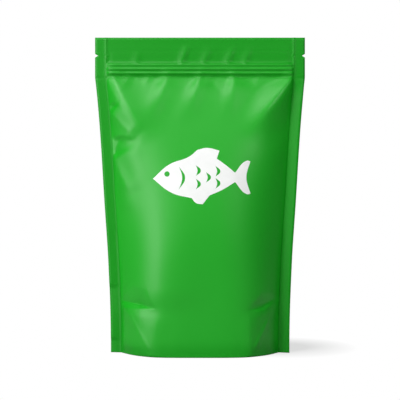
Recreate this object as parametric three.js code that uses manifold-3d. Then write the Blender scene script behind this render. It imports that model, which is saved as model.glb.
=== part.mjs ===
// Stand-up zip pouch of dry pet food, filled and heat-sealed, as one closed solid.
// Millimetres, +Z up. The origin is the middle of the base, on the floor, and -Y is the front.
import * as THREE from 'three';
import { mergeVertices } from 'three/addons/utils/BufferGeometryUtils.js';
import Module from 'manifold-3d';

const { clamp, lerp, smoothstep } = THREE.MathUtils;

// Film and outline
const POUCH_WIDTH = 160; // the film laid flat, over both side seals
const POUCH_HEIGHT = 240; // from the floor to the top edge, standing
const FILM = 0.25; // one web of laminate
const SIDE_SEAL = 8;
const TOP_SEAL = 8;

// Header and press-to-close zip, downwards from the top seal
const HEADER = 11.4; // loose film between the top seal and the zip
const HEADER_SLACK = 0.7; // how far that film stands off the seal plane
const RIB_COUNT = 3;
const RIB_PITCH = 3.2;
const RIB_HEIGHT = 0.7;
const ZIP_FLANGE = 0.9; // the zip's base strip, on each side of the seal plane
const ZIP_CRUSH = 5; // length over which the zip flattens into each side seal
const ZIP_FOOT = 2; // flat film under the lowest rib, where the body starts

// Tear notches
const NOTCH_DROP = 13.8; // from the top edge to the notch's point
const NOTCH_DEPTH = 2.2;
const NOTCH_MOUTH = 2.8;

// Filled body
const BELLY = 28.6; // deepest stand-off of a panel from the seal plane
const BELLY_LEVEL = 70; // height of that deepest place
const BASE_TUCK = 0.4; // how much a panel draws back in from the belly to the floor
const SHOULDER_ROUND = 1.73; // 1 leaves the belly in a straight slope, more leaves it in a curve
const SHOULDER_RISE = 0.85; // 1 comes to the zip in a straight slope, less comes to it more steeply
const LENS_LEVEL = 120; // height of the plain lens-shaped section, squarer below and hipped above
const LENS_SQUARENESS = 2.4; // 2 is an arched section, more is a rounded box
const BASE_SQUARENESS = 4.3;
const LENS_HIP = 1.1; // 1 is no ridge where the sides meet the shoulder, more is a sharper one
const TOP_HIP = 1.8;

// Bottom gusset
const GUSSET_RISE = 38; // height of the gusset's fold in the side seals
const SKIRT = 9; // seal between the gusset and a panel, along the floor
const CORNER_SEAL_RUN = 0.62; // share of the half panel where the slanted seal meets the floor
const CORNER_SEAL_STEP = 0.9; // how far the sealed corner lies under the filled film
const CORNER_SEAL_BLEND = 5;
const RIM = 0.8; // standing edge of the skirt
const TUCK_WIDTH = 9; // from the rim to where the gusset lies on the floor
const TUCK_HEIGHT = 3;
const TUCK_PROFILE = [[0, 0], [0.12, 0.8], [0.3, 1], [0.6, 0.45], [1, 0]]; // shares of that width and height

// Folds of the film
const FOLD_REACH = 6; // half width of an ordinary fold
const FOLD_RISE = 2; // height of an ordinary fold
const FOLD_END = 0.15; // share of a fold's length by which it runs out past each end
const FADE = 3; // length over which a fold dies out at a seal or the zip

// Mesh steps
const PANEL_COLUMNS = 34;
const SECTION_STEPS = 60;
const DENT_BAND = 10; // close rows this far above and below the gusset's fold
const SHOULDER_BAND = 44; // close rows this far below the zip
const STEPS_PER_RIB = 4;
const WELD = 1e-4; // points nearer than this are one point

const SEAL_FOOT = POUCH_HEIGHT - TOP_SEAL;
const ZIP_TOP = SEAL_FOOT - HEADER;
const ZIP_BOTTOM = ZIP_TOP - RIB_COUNT * RIB_PITCH;
const BODY_TOP = ZIP_BOTTOM - ZIP_FOOT;
const HALF_PANEL = POUCH_WIDTH / 2 - SIDE_SEAL;
const CORNER_TOP = GUSSET_RISE / BODY_TOP; // as a share of the body's height

// A fold runs from one point to another. A point is its share of the half panel, from -1 at the left
// seal to 1 at the right one, and its share of the way from the floor to the zip. A fold is so many
// times as wide and high as an ordinary one, and one with a height below 0 is a pocket.
const FOLDS = [
  { from: [-0.99, 0.99], to: [-0.68, 0.81], wide: 1, high: 0.5 }, // left corner ridge
  { from: [-0.94, 0.88], to: [-0.72, 0.77], wide: 1, high: -0.9 }, // upper left pocket
  { from: [-0.98, 0.78], to: [-0.67, 0.73], wide: 0.8, high: 0.5 }, // ridge between the pockets
  { from: [-0.95, 0.73], to: [-0.74, 0.58], wide: 1.2, high: -0.8 }, // lower left pocket
  { from: [-0.97, 0.57], to: [-0.72, 0.54], wide: 1, high: 0.4 }, // ridge below it
  { from: [-0.41, 0.995], to: [-0.58, 0.83], wide: 1, high: 0.6 }, // left flute under the zip
  { from: [-0.05, 0.995], to: [-0.2, 0.83], wide: 1, high: 0.5 }, // middle flute
  { from: [0.24, 0.99], to: [0.3, 0.83], wide: 1, high: 0.5 }, // right flute
  { from: [0.98, 0.99], to: [0.52, 0.8], wide: 1.2, high: 0.7 }, // right corner ridge
  { from: [0.95, 0.9], to: [0.74, 0.71], wide: 1.5, high: -0.5 }, // hollow beside it
  { from: [-1, CORNER_TOP], to: [-0.52, CORNER_TOP - 0.02], wide: 0.7, high: -1 }, // left corner dent
  { from: [1, CORNER_TOP + 0.01], to: [0.58, CORNER_TOP - 0.02], wide: 0.7, high: -0.7 }, // right one
];

// Depth of the filled body at a height: 0 at the zip, 1 at the belly, a little less at the floor.
function bodyRise(z) {
  if (z < BELLY_LEVEL) return 1 - (BASE_TUCK / BELLY) * (1 - z / BELLY_LEVEL) ** 2;
  const climb = clamp((z - BELLY_LEVEL) / (BODY_TOP - BELLY_LEVEL), 0, 1);
  return (1 - climb ** SHOULDER_ROUND) ** SHOULDER_RISE;
}

// Depth across the panel: 1 in the middle, 0 at the side seals.
function sectionRise(share, z) {
  const power = lerp(BASE_SQUARENESS, LENS_SQUARENESS, smoothstep(z, 0, LENS_LEVEL));
  return 1 - Math.abs(share) ** power;
}

// The lesser of two rises from 0 to 1, rounded where they meet, so that they join in a hip ridge.
function hipBlend(a, b, hip) {
  if (a <= 0 || b <= 0) return 0;
  return 1 / (1 + ((1 / a - 1) ** hip + (1 / b - 1) ** hip) ** (1 / hip));
}

// Stand-off of the filled film, before its folds.
function bodyDepth(share, z) {
  const hip = lerp(LENS_HIP, TOP_HIP, smoothstep(z, LENS_LEVEL, BODY_TOP));
  return BELLY * hipBlend(sectionRise(share, z), bodyRise(z), hip);
}

// The film doesn't stretch, so a deeper section draws the side seals in: the half width at which the
// way round the section is still the flat half panel.
function halfWidth(z) {
  const depthAt = (step) => bodyDepth(step / SECTION_STEPS, z);
  const falls = Array.from({ length: SECTION_STEPS }, (_, i) => depthAt(i) - depthAt(i + 1));
  const arc = (half) => falls.reduce((sum, fall) => sum + Math.hypot(half / SECTION_STEPS, fall), 0);
  let low = HALF_PANEL / 2;
  let high = HALF_PANEL;
  while (high - low > WELD) {
    const middle = (low + high) / 2;
    if (arc(middle) > HALF_PANEL) high = middle;
    else low = middle;
  }
  return low;
}

const fromSeal = (share) => (1 - Math.abs(share)) * HALF_PANEL;

// Zip ribs and the slack film above and below them.
function zipDepth(share, z) {
  if (z < BODY_TOP || z > SEAL_FOOT) return 0;
  const ends = smoothstep(fromSeal(share), 0, ZIP_CRUSH);
  if (z > ZIP_TOP) return HEADER_SLACK * ends * smoothstep(SEAL_FOOT - z, 0, FADE);
  if (z < ZIP_BOTTOM) return HEADER_SLACK * ends;
  const rib = (1 - Math.cos((2 * Math.PI * (z - ZIP_BOTTOM)) / RIB_PITCH)) / 2;
  return (ZIP_FLANGE + RIB_HEIGHT * rib) * ends;
}

// One fold's part in the depth at a point of the panel.
function foldDepth({ from, to, wide, high }, share, z) {
  const start = new THREE.Vector2(from[0] * HALF_PANEL, from[1] * BODY_TOP);
  const run = new THREE.Vector2(to[0] * HALF_PANEL, to[1] * BODY_TOP).sub(start);
  const offset = new THREE.Vector2(share * HALF_PANEL, z).sub(start);
  const along = offset.dot(run) / run.lengthSq();
  const across = offset.cross(run) / run.length();
  const swell = Math.sin(Math.PI * clamp((along + FOLD_END) / (1 + 2 * FOLD_END), 0, 1)) ** 2;
  return FOLD_RISE * high * swell * Math.exp(-((across / (FOLD_REACH * wide)) ** 2));
}

// 1 in a lower corner, where the gusset is sealed to the panel on a slant, 0 in the filled film.
function cornerSeal(share, z) {
  const run = new THREE.Vector2((1 - CORNER_SEAL_RUN) * HALF_PANEL, GUSSET_RISE);
  const offset = new THREE.Vector2((Math.abs(share) - CORNER_SEAL_RUN) * HALF_PANEL, z);
  return smoothstep(offset.cross(run) / run.length(), 0, CORNER_SEAL_BLEND);
}

// Stand-off of a panel's outer face from the seal plane.
function panelDepth(share, z) {
  const body = bodyDepth(share, z);
  const edge = smoothstep(fromSeal(share), 0, FADE) * smoothstep(BODY_TOP - z, 0, FADE);
  const folds = FOLDS.reduce((sum, fold) => sum + foldDepth(fold, share, z), 0);
  const sealed = CORNER_SEAL_STEP * cornerSeal(share, z);
  return FILM + Math.max(0, body + zipDepth(share, z) + edge * (folds - sealed));
}

// Heights of the mesh rows, closest together where the form turns quickest.
function rowLevels() {
  const levels = [0];
  const climb = (top, steps) => {
    const from = levels.at(-1);
    if (top <= from) return;
    for (let i = 1; i <= steps; i++) levels.push(lerp(from, top, i / steps));
  };
  climb(SKIRT, 3);
  climb(GUSSET_RISE - DENT_BAND, 4);
  climb(GUSSET_RISE + DENT_BAND, 9);
  climb(BODY_TOP - SHOULDER_BAND, 20);
  climb(BODY_TOP, 15);
  climb(ZIP_BOTTOM, 1);
  climb(ZIP_TOP, RIB_COUNT * STEPS_PER_RIB);
  climb(SEAL_FOOT - FADE, 3);
  climb(SEAL_FOOT, 2);
  climb(POUCH_HEIGHT, 1);
  return levels;
}

// Shares across the panel, closest together beside the seals.
function columnShares() {
  const even = Array.from({ length: PANEL_COLUMNS + 1 }, (_, i) => lerp(-1, 1, i / PANEL_COLUMNS));
  return even.map((share) => Math.sin((Math.PI / 2) * share));
}

// One row of the front panel, from the outer edge of the left seal to that of the right seal.
function frontRow(z) {
  const half = halfWidth(z);
  const seal = (side) => new THREE.Vector3(side * (half + SIDE_SEAL), -FILM, z);
  const film = columnShares().map((share) => new THREE.Vector3(share * half, -panelDepth(share, z), z));
  return [seal(-1), ...film, seal(1)];
}

// The back panel is the front one turned half way round the upright axis.
const backRow = (row) => row.map((p) => new THREE.Vector3(-p.x, -p.y, p.z)).reverse();

// Underside of one column of the base, from the front edge to the back edge. The skirt stands on its
// rim, the gusset tucks up behind it and lies on the floor in the middle.
function undersideColumn(front, back) {
  const baseDepth = panelDepth(0, 0);
  const side = (edge) =>
    TUCK_PROFILE.map(([inward, up]) => {
      const size = Math.abs(edge.y) / baseDepth;
      const distance = (RIM + inward * TUCK_WIDTH) / baseDepth;
      return new THREE.Vector3(edge.x, edge.y * (1 - distance), up * TUCK_HEIGHT * size);
    });
  return [front, ...side(front), ...side(back).reverse(), back];
}

// Triangles between two lists of points that run side by side. Each four-cornered patch is split along
// its shorter diagonal, which follows a ridge. A list of two points fans out to a longer one.
function strip(left, right) {
  const count = Math.max(left.length, right.length) - 1;
  const at = (list, i) => (list.length > count ? list[i] : list[i * 2 > count ? 1 : 0]);
  const triangles = [];
  for (let i = 0; i < count; i++) {
    const [a, b, c, d] = [at(left, i), at(right, i), at(right, i + 1), at(left, i + 1)];
    const halves = a.distanceTo(c) <= b.distanceTo(d) ? [[a, b, c], [a, c, d]] : [[b, c, d], [b, d, a]];
    triangles.push(...halves.filter((corners) => new Set(corners).size === corners.length).flat());
  }
  return triangles;
}

// Closed skin of the pouch: rings of film from the floor up, the base and the cut top edge.
function pouchSkin() {
  const fronts = rowLevels().map(frontRow);
  const backs = fronts.map(backRow);
  const rings = fronts.map((row, j) => [...row, ...[...backs[j]].reverse(), row[0]]);
  const walls = rings.slice(1).flatMap((ring, j) => strip(ring, rings[j]));
  const last = fronts.length - 1;
  const top = strip(backs[last], fronts[last]);
  const columns = fronts[0].map((point, i) => {
    const sealed = Math.min(i, fronts[0].length - 1 - i) < 2;
    return sealed ? [point, backs[0][i]] : undersideColumn(point, backs[0][i]);
  });
  const base = columns.slice(1).flatMap((column, i) => strip(columns[i], column).reverse());
  return new THREE.BufferGeometry().setFromPoints([...walls, ...top, ...base]);
}

// Wedge that cuts the tear notch into the side seal on one side, -1 left or 1 right.
function notchCutter(side) {
  const edge = POUCH_WIDTH / 2;
  const wedge = new THREE.Shape([
    new THREE.Vector2(edge - NOTCH_DEPTH, 0),
    new THREE.Vector2(edge + NOTCH_DEPTH, -NOTCH_MOUTH),
    new THREE.Vector2(edge + NOTCH_DEPTH, NOTCH_MOUTH),
  ]);
  const thickness = 8 * FILM;
  return new THREE.ExtrudeGeometry(wedge, { depth: thickness, bevelEnabled: false })
    .translate(0, 0, -thickness / 2)
    .rotateX(Math.PI / 2)
    .rotateZ(side > 0 ? 0 : Math.PI)
    .translate(0, 0, POUCH_HEIGHT - NOTCH_DROP);
}

const wasm = await Module();
wasm.setup();

function toSolid(geometry) {
  const bare = geometry.clone();
  bare.deleteAttribute('normal');
  bare.deleteAttribute('uv');
  const merged = mergeVertices(bare, WELD);
  return new wasm.Manifold(
    new wasm.Mesh({
      numProp: 3,
      vertProperties: merged.attributes.position.array,
      triVerts: new Uint32Array(merged.index.array),
    }),
  );
}

function toGeometry(solid) {
  const { vertProperties, triVerts } = solid.getMesh();
  const geometry = new THREE.BufferGeometry();
  geometry.setAttribute('position', new THREE.BufferAttribute(vertProperties, 3));
  geometry.setIndex(new THREE.BufferAttribute(triVerts, 1));
  geometry.computeVertexNormals();
  return geometry;
}

const notches = toSolid(notchCutter(-1)).add(toSolid(notchCutter(1)));
const notched = toSolid(pouchSkin()).subtract(notches);
const greenFilm = new THREE.MeshStandardMaterial({ color: 0x2aa930, roughness: 0.45, metalness: 0 });
const pouch = new THREE.Mesh(toGeometry(notched), greenFilm);
pouch.name = 'pouch';

const root = new THREE.Group();
root.add(pouch);
export default root;
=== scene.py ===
# %% [markdown]
# # A filled stand-up pouch of pet food
# The pouch is printed film, sealed flat along the sides and the top, with a press-to-close zip and a
# gusset that opens into a base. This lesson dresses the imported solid: it makes the film's fine surface,
# its finish, the white print and a plain studio. Blender counts in metres, so MM writes millimetres.

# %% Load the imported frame
import math

import bpy
import numpy as np
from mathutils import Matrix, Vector


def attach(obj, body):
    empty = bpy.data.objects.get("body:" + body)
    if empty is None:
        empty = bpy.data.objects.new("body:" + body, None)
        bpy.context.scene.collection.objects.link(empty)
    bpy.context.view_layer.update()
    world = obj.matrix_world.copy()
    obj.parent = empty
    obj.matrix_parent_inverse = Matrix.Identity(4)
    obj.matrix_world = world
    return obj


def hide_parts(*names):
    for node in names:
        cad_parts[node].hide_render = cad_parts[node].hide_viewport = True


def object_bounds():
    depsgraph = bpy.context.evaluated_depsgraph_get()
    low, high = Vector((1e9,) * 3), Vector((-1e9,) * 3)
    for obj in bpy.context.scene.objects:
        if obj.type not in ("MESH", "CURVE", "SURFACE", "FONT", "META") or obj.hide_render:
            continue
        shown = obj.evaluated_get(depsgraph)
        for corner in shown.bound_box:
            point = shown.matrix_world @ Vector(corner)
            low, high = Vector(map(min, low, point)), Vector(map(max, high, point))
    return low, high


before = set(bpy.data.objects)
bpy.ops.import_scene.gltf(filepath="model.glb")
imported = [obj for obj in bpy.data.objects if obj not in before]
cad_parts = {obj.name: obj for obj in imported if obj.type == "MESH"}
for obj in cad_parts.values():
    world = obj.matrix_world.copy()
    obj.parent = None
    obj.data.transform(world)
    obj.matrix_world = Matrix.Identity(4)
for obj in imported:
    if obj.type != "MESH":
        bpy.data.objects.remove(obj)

MM = 0.001
cad_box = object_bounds()
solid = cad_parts["pouch"]
print("solid box in mm:", [[round(x / MM, 1) for x in corner] for corner in cad_box])

# %% [markdown]
# ## Small helpers
# An operator acts on whatever is selected, so one helper selects exactly what the next step needs.
# Another applies a modifier, so that what is rendered is plain mesh. The last two read a mesh's points
# and blend softly from 0 to 1 between two values.


# %% Helpers for objects
def select_only(*objects):
    if bpy.context.mode != "OBJECT":
        bpy.ops.object.mode_set(mode="OBJECT")
    bpy.ops.object.select_all(action="DESELECT")
    for obj in objects:
        obj.select_set(True)
    bpy.context.view_layer.objects.active = objects[-1]


def apply_modifier(obj, kind, **settings):
    select_only(obj)
    modifier = obj.modifiers.new(kind.lower(), kind)
    for name, value in settings.items():
        setattr(modifier, name, value)
    bpy.ops.object.modifier_apply(modifier=modifier.name)


def coordinates(obj):
    flat = np.empty(len(obj.data.vertices) * 3)
    obj.data.vertices.foreach_get("co", flat)
    return flat.reshape(-1, 3)


def smoothstep(value, low, high):
    t = np.clip((value - low) / (high - low), 0, 1)
    return t * t * (3 - 2 * t)


print("helpers ready")

# %% [markdown]
# ## Camera
# The photograph looks at the pouch straight from the front, from about the middle of its height. The
# lower front edge shows under the side seals' lower ends, which tells how near the camera stands.

# %% Camera at the photograph's place
PHOTO_PIXELS = 400
POUCH_PIXELS = 209.8  # width of the top edge in the photograph
CENTRE_ABOVE_FLOOR = 116.2 * MM  # what the photograph's middle row shows
CAMERA_DISTANCE = 800 * MM

pouch_width = cad_box[1].x - cad_box[0].x
frame_width = pouch_width * PHOTO_PIXELS / POUCH_PIXELS
bpy.ops.object.camera_add(location=(0, -CAMERA_DISTANCE, CENTRE_ABOVE_FLOOR), rotation=(math.pi / 2, 0, 0))
camera = bpy.context.object
camera.data.lens = camera.data.sensor_width * CAMERA_DISTANCE / frame_width
bpy.context.scene.camera = camera
print("camera lens in mm:", round(camera.data.lens, 1))

# %% [markdown]
# ## The film's surface
# The film of a filled pouch is one smooth skin. It could be modelled anew from two sheets, but the packed
# solid already has the true form in a few thousand facets. So a copy of it is merged, turned back to quads
# and rounded by a subdivision surface. Edges that are sharp on the real pouch, such as the cut edge of a
# seal, are creased first so that they stay.

# %% Merge a copy of the solid and crease its cut edges
MERGE_WITHIN = 0.001 * MM
QUAD_LIMIT = math.radians(70)  # triangles become a quad that is less bent and skewed than this
CUT_EDGE = math.radians(50)  # edges that turn more than this stay sharp

film = bpy.data.objects.new("pouch_film", solid.data.copy())
bpy.context.scene.collection.objects.link(film)
film.data.materials.clear()
select_only(film)
bpy.ops.object.mode_set(mode="EDIT")
bpy.ops.mesh.select_all(action="SELECT")
bpy.ops.mesh.remove_doubles(threshold=MERGE_WITHIN)
bpy.ops.mesh.tris_convert_to_quads(face_threshold=QUAD_LIMIT, shape_threshold=QUAD_LIMIT)
bpy.ops.mesh.select_all(action="DESELECT")
bpy.ops.mesh.select_mode(type="EDGE")
bpy.ops.mesh.edges_select_sharp(sharpness=CUT_EDGE)
bpy.ops.transform.edge_crease(value=1)
bpy.ops.object.mode_set(mode="OBJECT")
quads = sum(len(face.vertices) == 4 for face in film.data.polygons)
print("quads of the solid:", quads, "of", len(film.data.polygons))

# %% Round it
apply_modifier(film, "SUBSURF", levels=2, render_levels=2)
select_only(film)
bpy.ops.object.shade_smooth_by_angle(angle=CUT_EDGE)
print("film faces:", len(film.data.polygons))

# %% [markdown]
# ## Folds of the film
# Film can't stretch, so where the filled body meets the stiff zip, the seals and the gusset it buckles:
# flat facets that meet in creases, and pleats with one steep side. By hand they could be drawn with a
# sculpting brush. Here a fan of facets round one low point gives a pocket, and a ridge with two different
# sides gives a pleat, because both can be placed to the millimetre. In these cells a bare length is in
# millimetres, and a place is on the front panel: across from its middle, and up from the floor.

# %% A pocket
RING_POINTS = 8  # a crease is rounded by a mean over so many points round each place


def fan(x, z, peak, high, rim):
    """Flat facets from a peak down to the points of a rim, which go once round it."""
    total = np.zeros_like(x)
    for (bx, bz), (cx, cz) in zip(rim, rim[1:] + rim[:1]):
        b, c = np.array((bx, bz)) - peak, np.array((cx, cz)) - peak
        area = b[0] * c[1] - b[1] * c[0]
        share_b = ((x - peak[0]) * c[1] - (z - peak[1]) * c[0]) / area
        share_c = ((z - peak[1]) * b[0] - (x - peak[0]) * b[1]) / area
        inside = (share_b >= 0) & (share_c >= 0) & (share_b + share_c < 1)
        total = np.where(inside, high * (1 - share_b - share_c), total)
    return total


def pocket(x, z, peak, high, rim, radius):
    """A fan whose creases are rounded to a radius. A negative height makes it hollow."""
    turns = np.arange(RING_POINTS) * 2 * math.pi / RING_POINTS
    shifts = [(0, 0), *zip(radius * np.cos(turns), radius * np.sin(turns))]
    return np.mean([fan(x + dx, z + dz, peak, high, rim) for dx, dz in shifts], axis=0)


print("pocket helper ready")

# %% A pleat
CREST = 0.4  # every crest is round over about this length
HOLLOW = 1.4  # above 1, the sides of a pleat are hollow towards their feet
FULL_WIDTH = 0.5  # share of its run after which a pleat that starts narrow is at full width
DIED_OUT = 1.05  # share of its run at which a pleat has died out


def pleat(x, z, start, end, high, left, right, taper=1.0, rise=0.06, blunt=0.08, narrow=0):
    """A ridge from start to end with a crest, that falls away over left and right lengths.

    Left and right are as seen where it runs down, and change places where it runs up. Of its run, it
    rises over the share rise and dies out over the share taper. Blunt rounds the crest, and narrow is the
    share that both lengths lack at the start.
    """
    run = np.array(end) - start
    length = np.hypot(*run)
    along = ((x - start[0]) * run[0] + (z - start[1]) * run[1]) / length**2
    across = ((x - start[0]) * -run[1] + (z - start[1]) * run[0]) / length
    side = np.where(across > 0, right, left) * (1 - narrow + narrow * smoothstep(along, 0, FULL_WIDTH))
    soft = blunt + CREST / side
    slope = np.clip(1 + soft - np.hypot(across / side, soft), 0, 1) ** HOLLOW
    ends = smoothstep(along, -rise, rise) * (1 - smoothstep(along, 1 - taper, DIED_OUT))
    return high * ends * slope


print("pleat helper ready")

# %% Where the pockets are
UPPER_RIM = [(-69.6, 190), (-60, 188.5), (-57, 184), (-68, 178)]  # beside the left seal
LOWER_RIM = [(-67.6, 164), (-58, 165), (-44.5, 161), (-48, 152), (-66.5, 146)]  # further down that seal
LEFT_DENT_RIM = [(-61, 40.2), (-50, 52), (-40, 50), (-33, 35.6), (-37, 35.4), (-46, 36.2), (-56, 38.4)]
RIGHT_DENT_RIM = [(58, 44), (47, 48), (36, 35.4), (37, 33.4), (47, 34.2), (54, 38)]
POCKETS = [
    dict(peak=(-66.5, 188), high=-1.2, rim=UPPER_RIM, radius=1.0),
    dict(peak=(-62, 161.5), high=-2.4, rim=LOWER_RIM, radius=1.0),
    dict(peak=(-45, 38.2), high=-3.0, rim=LEFT_DENT_RIM, radius=0.4),  # over the gusset's fold
    dict(peak=(47, 36.5), high=-1.8, rim=RIGHT_DENT_RIM, radius=0.8),
]
print("pockets:", len(POCKETS))

# %% Where the pleats are: under the zip and at its corners
ZIP_FOOT = 211  # level of the zip's lower edge
FLUTE = dict(left=9, taper=0.9, rise=0.3)
FLUTES = [
    dict(FLUTE, start=(-25, ZIP_FOOT), end=(-34, 177), high=2.2, right=24, narrow=0.4),
    dict(FLUTE, start=(0, ZIP_FOOT), end=(-8, 177), high=2.1, right=24, narrow=0.6),
    dict(FLUTE, start=(25, ZIP_FOOT), end=(25, 177), high=2.1, right=26, narrow=0.6),
]
SHORT_FLUTES = [
    dict(start=(-54, ZIP_FOOT), end=(-60, 198), high=0.5, left=5, right=5, taper=0.8),
    dict(start=(-39, ZIP_FOOT), end=(-42, 199), high=0.4, left=4, right=4, taper=0.8),
    dict(start=(7, ZIP_FOOT), end=(5, 199), high=0.4, left=4, right=4, taper=0.8),
    dict(start=(46, ZIP_FOOT), end=(41, 198), high=0.4, left=5, right=5, taper=0.8),
]
LEFT_RIDGE = dict(  # from a corner of the zip down to the belly
    start=(-67, ZIP_FOOT), end=(-38, 160), high=3.0, left=16, right=22, taper=0.5, rise=0.2, narrow=0.6
)
RIGHT_RIDGE = dict(
    start=(71, ZIP_FOOT), end=(35.5, 163), high=2.8, left=15, right=18, taper=0.6, rise=0.25, narrow=0.6
)
PUFFS = [  # beside the left seal, each ends in a crease
    dict(start=(-68, 183), end=(-48.5, 162.5), high=2.4, left=9.5, right=12, taper=0.3),
    dict(start=(-66, 149), end=(-52, 120), high=2.0, left=10, right=20, taper=0.3),
]
UPPER_PLEATS = [*FLUTES, *SHORT_FLUTES, LEFT_RIDGE, *PUFFS, RIGHT_RIDGE]
print("pleats in the upper half:", len(UPPER_PLEATS))

# %% Where the pleats are: over the gusset and in the header
SHOULDER = dict(  # where the filling bulges, left of the middle
    start=(-29, 120), end=(-27, 34), high=1.9, left=18, right=28, taper=0.2, rise=0.6, blunt=0.5
)
BASE_EDGES = [  # the flat front of the base ends in them
    dict(start=(-57, 37), end=(-58, 1), high=3.0, left=3.5, right=22, taper=0.2),
    dict(start=(-36, 0), end=(-32, 36), high=0.9, left=10, right=16, taper=0.4),
    dict(start=(38, 0), end=(36, 36), high=0.8, left=9, right=9, taper=0.4),
]
DENT_LIPS = [
    dict(start=(-61, 36.5), end=(-38, 33.5), high=0.8, left=14, right=2, taper=0.3),
    dict(start=(60, 38), end=(37, 35), high=0.6, left=3, right=10, taper=0.3),
]
CORNER_SEALS = [  # slanted seals between the gusset and the front
    dict(start=(-37, 5), end=(-56, 36), high=0.35, left=1.4, right=2.2, taper=0.3),
    dict(start=(41, 7), end=(53, 30), high=0.6, left=3, right=1.6, taper=0.3),
]
HEADER_FOOT = 220  # level from which the header's wrinkles run up
WRINKLE = dict(left=2, right=5, taper=0.8)
WRINKLES = [
    dict(WRINKLE, start=(-14, HEADER_FOOT), end=(-7, 239), high=1.1),
    dict(WRINKLE, start=(3, HEADER_FOOT), end=(9, 234), high=0.9),
    dict(WRINKLE, start=(21, HEADER_FOOT), end=(27, 235), high=1.0),
    dict(WRINKLE, start=(34, HEADER_FOOT), end=(40, 234), high=0.8),
    dict(WRINKLE, start=(-49, HEADER_FOOT), end=(-46, 231), high=0.6, left=3),
]
PLEATS = [*UPPER_PLEATS, SHOULDER, *BASE_EDGES, *DENT_LIPS, *CORNER_SEALS, *WRINKLES]
print("pleats in all:", len(PLEATS))

# %% The zip's relief
ZIP_TOP = 220.6
RIB_PITCH, RIB_HEIGHT = 3.2, 0.35
ROLL_HEIGHT = 0.7  # the whole zip stands out by this
ROLL_COMES, ROLL_GOES = (ZIP_FOOT - 1, ZIP_FOOT + 5), (ZIP_TOP - 4, ZIP_TOP + 1)  # levels of its blends
GROOVE_DEPTH, GROOVE_WIDTH, GROOVE_LEVEL = 0.5, 1.2, ZIP_FOOT - 1  # the film turns in under the zip
TOP_SEAL = 232  # lower edge of the top seal
TAUT_DEPTH = 0.45  # the film between the zip and the top seal lies back by this
TAUT_COMES, TAUT_GOES = (ZIP_TOP, ZIP_TOP + 1.5), (TOP_SEAL - 3, TOP_SEAL)


def zip_height(z):
    """A roll with crisp ribs, the groove under it, and the taut film above it."""
    roll = smoothstep(z, *ROLL_COMES) - smoothstep(z, *ROLL_GOES)
    ribs = (1 - np.cos(2 * math.pi * (z - ZIP_FOOT) / RIB_PITCH)) / 2
    within = (z > ZIP_FOOT) & (z < ZIP_TOP)
    groove = np.exp(-(((z - GROOVE_LEVEL) / GROOVE_WIDTH) ** 2))
    taut = smoothstep(z, *TAUT_COMES) * (1 - smoothstep(z, *TAUT_GOES))
    return ROLL_HEIGHT * roll + RIB_HEIGHT * ribs * within - GROOVE_DEPTH * groove - TAUT_DEPTH * taut


def fold_height(x, z):
    """Height of all the folds at a place."""
    pockets = [pocket(x, z, **place) for place in POCKETS]
    pleats = [pleat(x, z, **place) for place in PLEATS]
    return np.sum(pockets + pleats, axis=0) + zip_height(z)


print("zip from", ZIP_FOOT, "to", ZIP_TOP, "mm, ribs every", RIB_PITCH, "mm")

# %% Bends of the side seals
CREASE_DEPTH, CREASE_WIDTH, CREASE_LEVEL = 0.4, 1.2, ZIP_FOOT - 2  # both seals give way under the zip
LEFT_BEND = 1.4  # the left seal leans back beside the gusset
LEFT_COMES, LEFT_GOES = (10, 46), (49, 52)  # levels over which that bend comes and goes
FOOT_BEND = 1.2  # its lowest end leans back too
FOOT_GOES = 9, 11.5
RIGHT_BEND = -2.4  # the right seal leans forward, below the zip
RIGHT_GOES = 190, 212


def seal_bend(x, z):
    """How far the outer edge of a side seal lies behind the seal plane."""
    crease = CREASE_DEPTH * np.exp(-(((z - CREASE_LEVEL) / CREASE_WIDTH) ** 2))
    left = LEFT_BEND * (1 - smoothstep(z, *LEFT_GOES)) * smoothstep(z, *LEFT_COMES)
    left += FOOT_BEND * (1 - smoothstep(z, *FOOT_GOES))
    right = RIGHT_BEND * (1 - smoothstep(z, *RIGHT_GOES))
    return crease + np.where(x < 0, left, right)


print("bends of the seals in mm:", LEFT_BEND, FOOT_BEND, RIGHT_BEND)

# %% [markdown]
# ## Folding
# Now the film takes its folds. A cloth simulation would find folds of its own, but these lie where the
# real pouch has them, so each point just moves forwards or backwards by the folds' height at its place.
# The back is the front turned half way round. Beside a side seal the folds die out, because the seal
# holds the film flat.

# %% Where each point of the film lies
SEAL = 8  # width of a side seal
LEVELS_PER_MM = 2
BASE_LEVEL = 0.5  # points below it are the underside, which stays as it is
LEAST_DEPTH = 0.3  # the film never goes behind the seal's own face


def inner_edges(points):
    """How far out the side seals' inner edges lie, at each point's level.

    Not every level has a point on the cut edge, so the widest of three levels counts.
    """
    levels = np.round(points[:, 2] * LEVELS_PER_MM).astype(int)
    outer = np.zeros(levels.max() + 1)
    np.maximum.at(outer, levels, np.abs(points[:, 0]))
    near = np.pad(outer, 1, mode="edge")
    return np.maximum.reduce([near[:-2], near[1:-1], near[2:]])[levels] - SEAL


points = coordinates(film) / MM
inner = inner_edges(points)
facing = np.where(points[:, 1] < 0, 1, -1)  # 1 on the front, -1 on the back
across = points[:, 0] * facing  # as seen by somebody in front of that side
depth = np.abs(points[:, 1])
upright = (points[:, 2] > BASE_LEVEL) & (depth > LEAST_DEPTH)
print("upright points:", int(upright.sum()), "of", len(points))

# %% Fold the film
EDGE_FADE = 2.5  # a fold dies out over this length beside a seal
BEAD, BEAD_HEIGHT = 0.9, 0.4  # film that the heated bar pressed out along the seal's edge
BEAD_COMES = 205, 212  # levels over which the bead begins, beside the zip
SHOWS = 0.05  # a move that can be seen

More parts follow.
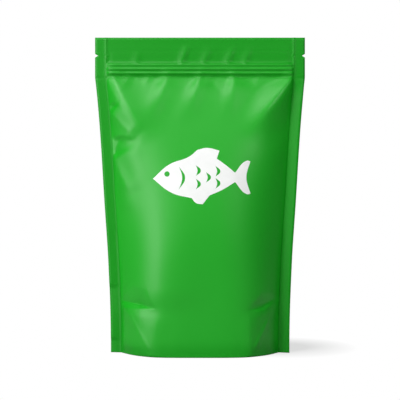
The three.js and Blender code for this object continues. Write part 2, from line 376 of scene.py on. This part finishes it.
fade = smoothstep(inner - np.abs(across), 0, EDGE_FADE) * upright
folded = np.maximum(depth + fade * fold_height(across, points[:, 2]), LEAST_DEPTH)
points[:, 1] = np.where(upright, -facing * folded, points[:, 1])
from_bead = np.abs(points[:, 0]) - inner + BEAD / 2
bead = np.exp(-((from_bead / BEAD) ** 2)) * smoothstep(points[:, 2], *BEAD_COMES)
points[:, 1] -= facing * BEAD_HEIGHT * bead
outward = np.clip((np.abs(points[:, 0]) - inner) / SEAL, 0, 1)
points[:, 1] += outward * seal_bend(points[:, 0], points[:, 2])
film.data.vertices.foreach_set("co", (points * MM).ravel())
film.data.update()
print("folded points:", int((np.abs(folded - depth) > SHOWS).sum()), "of", len(points))

# %% [markdown]
# ## Finish of the film
# The film is a printed laminate with a satin outer web. Its gloss is soft and broad, and it is never
# quite even, so a faint waviness in the bump breaks the highlights. Where two webs are pressed together
# in a seal, the heated bars leave the web duller, so it mirrors less, and there the green is set deeper.
# The seals could have a material of their own, but the change is soft. So a value on the mesh's points,
# 0 over the filling and 1 on a seal, blends the two looks.


# %% Helpers for materials
def linear(hex_colour):
    channels = [int(hex_colour[i : i + 2], 16) / 255 for i in (1, 3, 5)]
    return [c / 12.92 if c <= 0.04045 else ((c + 0.055) / 1.055) ** 2.4 for c in channels] + [1]


def new_material(name):
    material = bpy.data.materials.new(name)
    material.use_nodes = True
    return material


def add_node(owner, kind, inputs=(), links=(), **settings):
    """Adds a node, sets its properties and input values, and links (from node, output, input) into it."""
    node = owner.node_tree.nodes.new(kind)
    for name, value in settings.items():
        setattr(node, name, value)
    for name, value in dict(inputs).items():
        node.inputs[name].default_value = value
    for source, output, target in links:
        owner.node_tree.links.new(source.outputs[output], node.inputs[target])
    return node


print("a middle grey in linear light:", round(linear("#808080")[0], 3))

# %% How far the film is sealed at each point
SEAL_BLEND = 1.5  # the look changes over this length
ZIP_LEVEL = 209  # from here up both webs lie close together
ZIP_SHARE = 0.6  # the zip is sealed by this share, the header wholly
SKIRT_LEVEL, SKIRT_BLEND = 9, 5  # top of the seal along the floor
SKIRT_SHARE = 0.6

beside = smoothstep(np.abs(across) - inner, -SEAL_BLEND, 0)
above = ZIP_SHARE * smoothstep(points[:, 2], ZIP_LEVEL - SEAL_BLEND, ZIP_LEVEL)
above += (1 - ZIP_SHARE) * smoothstep(points[:, 2], ZIP_TOP - SEAL_BLEND, ZIP_TOP)
below = SKIRT_SHARE * (1 - smoothstep(points[:, 2], SKIRT_LEVEL - SKIRT_BLEND, SKIRT_LEVEL + SKIRT_BLEND))
sealed_share = np.maximum.reduce([beside, above, below])
sealed = film.data.attributes.new("sealed", "FLOAT", "POINT")
sealed.data.foreach_set("value", sealed_share)
print("sealed share, mean over the points:", round(float(sealed_share.mean()), 2))

# %% Satin laminate
FILM_GREEN = "#0CAA16"  # over the filling
SEALED_GREEN = "#0A9613"  # where the webs are pressed together
FILM_ROUGHNESS = 0.41  # satin: highlights are broad, with soft edges
FILM_SPECULAR = 0.59  # 0.5 is usual for plastics
SEALED_SPECULAR = 0.3  # the heated bars left it duller
WAVE_LENGTH, WAVE_HEIGHT = 9 * MM, 0.02 * MM  # the film's faint waviness

satin_laminate = new_material("satin_laminate")
shader = satin_laminate.node_tree.nodes["Principled BSDF"]
shader.inputs["Roughness"].default_value = FILM_ROUGHNESS
where_sealed = add_node(satin_laminate, "ShaderNodeAttribute", attribute_name="sealed")
green = add_node(satin_laminate, "ShaderNodeValToRGB", links=[(where_sealed, "Fac", "Fac")])
green.color_ramp.elements[0].color = linear(FILM_GREEN)
green.color_ramp.elements[1].color = linear(SEALED_GREEN)
mirror = add_node(
    satin_laminate,
    "ShaderNodeMapRange",
    inputs={"From Min": 0, "From Max": 1, "To Min": FILM_SPECULAR, "To Max": SEALED_SPECULAR},
    links=[(where_sealed, "Fac", "Value")],
)
place = add_node(satin_laminate, "ShaderNodeTexCoord")
waves = add_node(
    satin_laminate,
    "ShaderNodeTexNoise",
    inputs={"Scale": 1 / WAVE_LENGTH, "Detail": 2},
    links=[(place, "Object", "Vector")],
)
bump = add_node(
    satin_laminate,
    "ShaderNodeBump",
    inputs={"Distance": WAVE_HEIGHT, "Strength": 1},
    links=[(waves, "Fac", "Height")],
)
satin_laminate.node_tree.links.new(green.outputs["Color"], shader.inputs["Base Color"])
satin_laminate.node_tree.links.new(mirror.outputs["Result"], shader.inputs["Specular IOR Level"])
satin_laminate.node_tree.links.new(bump.outputs["Normal"], shader.inputs["Normal"])
film.data.materials.append(satin_laminate)
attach(film, "root")
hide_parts("pouch")
print("film material:", satin_laminate.name)

# %% [markdown]
# ## White print
# A plain fish in white ink tells what the food is. Ink is a layer far thinner than the film, so it is a
# flat drawing: a closed curve with smaller closed curves for the eye, the gill and the scales, which the
# fill leaves open. It could be painted into the film's material, but a drawing of its own keeps a crisp
# edge. It is cut into small squares so that it can bend, and pressed on the film.


# %% Draw a closed curve
def add_loop(drawing, outline):
    """Adds a closed curve in mm. A point with a third entry is a corner, the others are smooth."""
    drawing.splines.new("BEZIER")
    loop = drawing.splines[-1]
    loop.bezier_points.add(len(outline) - 1)
    loop.use_cyclic_u = True
    for knot, (x, z, *corner) in zip(loop.bezier_points, outline):
        knot.co = (x * MM, z * MM, 0)
        knot.handle_left_type = knot.handle_right_type = "VECTOR" if corner else "AUTO"


def ring(x, z, radius):
    return [(x - radius, z), (x, z + radius), (x + radius, z), (x, z - radius)]


def crescent(x, z, high, wide, bow):
    """A thin crescent that is hollow to the left."""
    return [(x, z + high / 2, 0), (x + bow, z), (x, z - high / 2, 0), (x + bow - wide, z)]


print("curve helpers ready")

# %% The fish
FISH = [
    (-36, -1, 0), (-24, 9.5), (-9, 15.5), (-3, 20.5, 0), (4, 22), (13.5, 20, 0), (11.5, 14, 0), (19, 8.5),
    (25, 3.5, 0), (34, 12.5), (36.5, 12, 0), (33.5, 0), (36.5, -12, 0), (34, -12.5), (25, -3.5, 0),
    (16, -9), (6, -13.5, 0), (1, -20, 0), (-4, -19), (-7, -15.5, 0), (-22, -11.5),
]
EYE = dict(x=-25.5, z=2.5, radius=2)
GILL = dict(x=-16.5, z=-0.5, high=17, wide=2.2, bow=4.5)
SCALE = dict(high=8, wide=2.4, bow=3.6)
SCALE_PLACES = [(-4, 5), (-4, -5), (3.5, 0), (10.5, 4.5), (10.5, -4.5)]
CURVE_STEPS = 8  # straight pieces between two points of a curve

bpy.ops.object.select_all(action="DESELECT")
bpy.ops.curve.primitive_bezier_curve_add()
fish = bpy.context.object
fish.name = "fish_print"
drawing = fish.data
drawing.dimensions = "2D"
drawing.fill_mode = "BOTH"
drawing.resolution_u = CURVE_STEPS
drawing.splines.clear()
add_loop(drawing, FISH)
add_loop(drawing, ring(**EYE))
add_loop(drawing, crescent(**GILL))
for x, z in SCALE_PLACES:
    add_loop(drawing, crescent(x, z, **SCALE))
select_only(fish)
bpy.ops.object.convert(target="MESH")
print("fish outline points:", len(fish.data.vertices))

# %% Stand the fish up and cut it into small squares
PRINT_CENTRE = 1 * MM, 133 * MM  # on the front panel
IN_FRONT = 100 * MM  # clear of the film, until it is pressed on
CUT_STEP = 1.5 * MM
INK_MERGE = 0.01 * MM

fish.location = (PRINT_CENTRE[0], -IN_FRONT, PRINT_CENTRE[1])
fish.rotation_euler = (math.pi / 2, 0, 0)
select_only(fish)
bpy.ops.object.transform_apply(location=True, rotation=True, scale=True)
bpy.ops.object.mode_set(mode="EDIT")
bpy.ops.mesh.select_all(action="SELECT")
bpy.ops.mesh.remove_doubles(threshold=INK_MERGE)
low, high = np.min(fish.bound_box, axis=0), np.max(fish.bound_box, axis=0)
for axis, normal in ((0, (1, 0, 0)), (2, (0, 0, 1))):
    for cut in np.arange(low[axis] + CUT_STEP, high[axis], CUT_STEP):
        point = [0.0, 0.0, 0.0]
        point[axis] = cut
        bpy.ops.mesh.select_all(action="SELECT")
        bpy.ops.mesh.bisect(plane_co=point, plane_no=normal)
bpy.ops.object.mode_set(mode="OBJECT")
print("fish faces:", len(fish.data.polygons))

# %% Press the fish on the film
INK_HEIGHT = 0.06 * MM  # thicker than real ink, so that it stays clear of the film's facets

apply_modifier(
    fish,
    "SHRINKWRAP",
    target=film,
    wrap_method="PROJECT",
    use_project_y=True,
    use_positive_direction=True,
    wrap_mode="ABOVE_SURFACE",
    offset=INK_HEIGHT,
)
select_only(fish)
bpy.ops.object.shade_smooth()
ahead = -coordinates(fish)[:, 1] / MM
print("print ahead of the seals by mm:", np.round([ahead.min(), ahead.max()], 1))

# %% [markdown]
# ## White ink
# On such pouches the ink is usually one thin coat under the satin web, so it has about the web's sheen.
# A thin coat is mottled: a trace of the green shows through in places. A painted picture could carry
# that, but a soft noise at the mottling's real size has no pixels and no seams.

# %% White ink
INK_WHITE = "#FBFBFB"
INK_THIN = "#F1F4F1"  # where a trace of the green shows through
INK_ROUGHNESS = 0.45
MOTTLE = 5 * MM  # size of the thin patches

white_ink = new_material("white_ink")
ink_shader = white_ink.node_tree.nodes["Principled BSDF"]
ink_shader.inputs["Roughness"].default_value = INK_ROUGHNESS
ink_place = add_node(white_ink, "ShaderNodeTexCoord")
mottle = add_node(
    white_ink,
    "ShaderNodeTexNoise",
    inputs={"Scale": 1 / MOTTLE, "Detail": 3},
    links=[(ink_place, "Object", "Vector")],
)
ink = add_node(white_ink, "ShaderNodeValToRGB", links=[(mottle, "Fac", "Fac")])
ink.color_ramp.elements[0].color = linear(INK_THIN)
ink.color_ramp.elements[1].color = linear(INK_WHITE)
white_ink.node_tree.links.new(ink.outputs["Color"], ink_shader.inputs["Base Color"])
fish.data.materials.clear()
fish.data.materials.append(white_ink)
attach(fish, "root")
print("print material:", white_ink.name)

# %% [markdown]
# ## Studio
# The pouch stands on a sheet of paper that runs into white. Satin film shows its form by what it mirrors,
# so the lights are soft boxes, each placed where a part of the film mirrors it: most stand at the left,
# and the right side falls into shade. A dim room fills the rest. Near the pouch, to its right, the sheet
# shows a painted soft shadow, which its real shadow deepens, and further out it is as white as the
# background.

# %% Floor
FLOOR_SIZE = 8  # metres, so that its edge is out of sight
PAPER_GREY = "#A8A8A8"  # what the film mirrors of the sheet
PAPER_ROUGHNESS, PAPER_SPECULAR = 0.9, 0.1
WHITE = "#FFFFFF"
# the sheet is painted with a soft grey shadow round this point, where less of its white glow is mixed in;
# the real shadow deepens it
SHADOW_CENTRE = 65 * MM, 30 * MM, 0
SHADOW_REACH = 20 * MM, 60 * MM  # distances over which the painted shadow turns into plain white
GLOW_IN_PAINTED_SHADOW = 0.6  # share of white glow in the middle of the painted shadow, where more of the lit grey paper shows

bpy.ops.mesh.primitive_plane_add(size=FLOOR_SIZE, location=(0, 0, 0))
floor = bpy.context.object
floor.name = "floor"
paper = new_material("white_paper")
matte = paper.node_tree.nodes["Principled BSDF"]
matte.inputs["Base Color"].default_value = linear(PAPER_GREY)
matte.inputs["Roughness"].default_value = PAPER_ROUGHNESS
matte.inputs["Specular IOR Level"].default_value = PAPER_SPECULAR
glow = add_node(paper, "ShaderNodeEmission", inputs={"Color": linear(WHITE), "Strength": 1})
spot = add_node(paper, "ShaderNodeTexCoord")
distance = add_node(
    paper,
    "ShaderNodeVectorMath",
    inputs={1: SHADOW_CENTRE},
    links=[(spot, "Object", 0)],
    operation="DISTANCE",
)
# painted shadow: near the centre less white glow is mixed in, so the lit grey paper shows
white = add_node(
    paper,
    "ShaderNodeMapRange",
    inputs={"From Min": SHADOW_REACH[0], "From Max": SHADOW_REACH[1], "To Min": GLOW_IN_PAINTED_SHADOW, "To Max": 1},
    links=[(distance, "Value", "Value")],
)
rays = add_node(paper, "ShaderNodeLightPath")
share = add_node(
    paper,
    "ShaderNodeMath",
    links=[(white, "Result", 0), (rays, "Is Camera Ray", 1)],
    operation="MULTIPLY",
)
blend = add_node(
    paper,
    "ShaderNodeMixShader",
    links=[(share, "Value", 0), (matte, "BSDF", 1), (glow, "Emission", 2)],
)
paper_output = paper.node_tree.nodes["Material Output"]
paper.node_tree.links.new(blend.outputs["Shader"], paper_output.inputs["Surface"])
floor.data.materials.append(paper)
print("floor ready")

# %% Softboxes
AIM = Vector((0, 0, 120 * MM))  # half way up the pouch


def softbox(name, left, up, distance, size, radiance):
    """A soft light at so many degrees to the left of the camera and above level, aimed at the pouch."""
    left, up = math.radians(left), math.radians(up)
    way = Vector((-math.cos(up) * math.sin(left), -math.cos(up) * math.cos(left), math.sin(up)))
    bpy.ops.object.light_add(type="AREA", location=AIM + distance * way)
    lamp = bpy.context.object
    lamp.name = name
    lamp.data.shape = "RECTANGLE"
    lamp.data.size, lamp.data.size_y = size
    lamp.data.energy = radiance * math.pi * size[0] * size[1]
    lamp.rotation_euler = way.to_track_quat("Z", "Y").to_euler()


# the long highlight on the left flank
softbox("left_strip", left=52, up=6, distance=1.2, size=(0.68, 0.6), radiance=4.2)
# the left corner and the flutes under the zip
softbox("high_softbox", left=44, up=37, distance=1.2, size=(0.5, 0.5), radiance=8.2)
# the slope from the zip to the belly
softbox("top_softbox", left=24, up=62, distance=1.2, size=(0.5, 0.5), radiance=4.4)
# a faint sheen on the middle
softbox("left_fill", left=18, up=16, distance=1.2, size=(0.5, 0.5), radiance=1.1)
# the right corner and the right seal
softbox("right_fill", left=-33, up=30, distance=1.2, size=(0.5, 0.5), radiance=4.2)
# the sheet, with the shadow at the right
softbox("floor_light", left=150, up=65, distance=1.3, size=(0.8, 0.8), radiance=3)
# the back
softbox("rear_fill", left=200, up=25, distance=1.3, size=(0.8, 0.6), radiance=5)

# %% Room
ROOM_STRENGTH = 0.03

world = bpy.data.worlds.new("studio")
bpy.context.scene.world = world
world.use_nodes = True
room = world.node_tree.nodes["Background"]
room.inputs["Color"].default_value = linear(WHITE)
room.inputs["Strength"].default_value = ROOM_STRENGTH
backdrop = add_node(world, "ShaderNodeBackground", inputs={"Color": linear(WHITE), "Strength": 1})
path = add_node(world, "ShaderNodeLightPath")
choice = add_node(
    world,
    "ShaderNodeMixShader",
    links=[(path, "Is Camera Ray", 0), (room, "Background", 1), (backdrop, "Background", 2)],
)
world_output = world.node_tree.nodes["World Output"]
world.node_tree.links.new(choice.outputs["Shader"], world_output.inputs["Surface"])
bpy.context.scene.view_settings.view_transform = "Standard"
print("room ready")
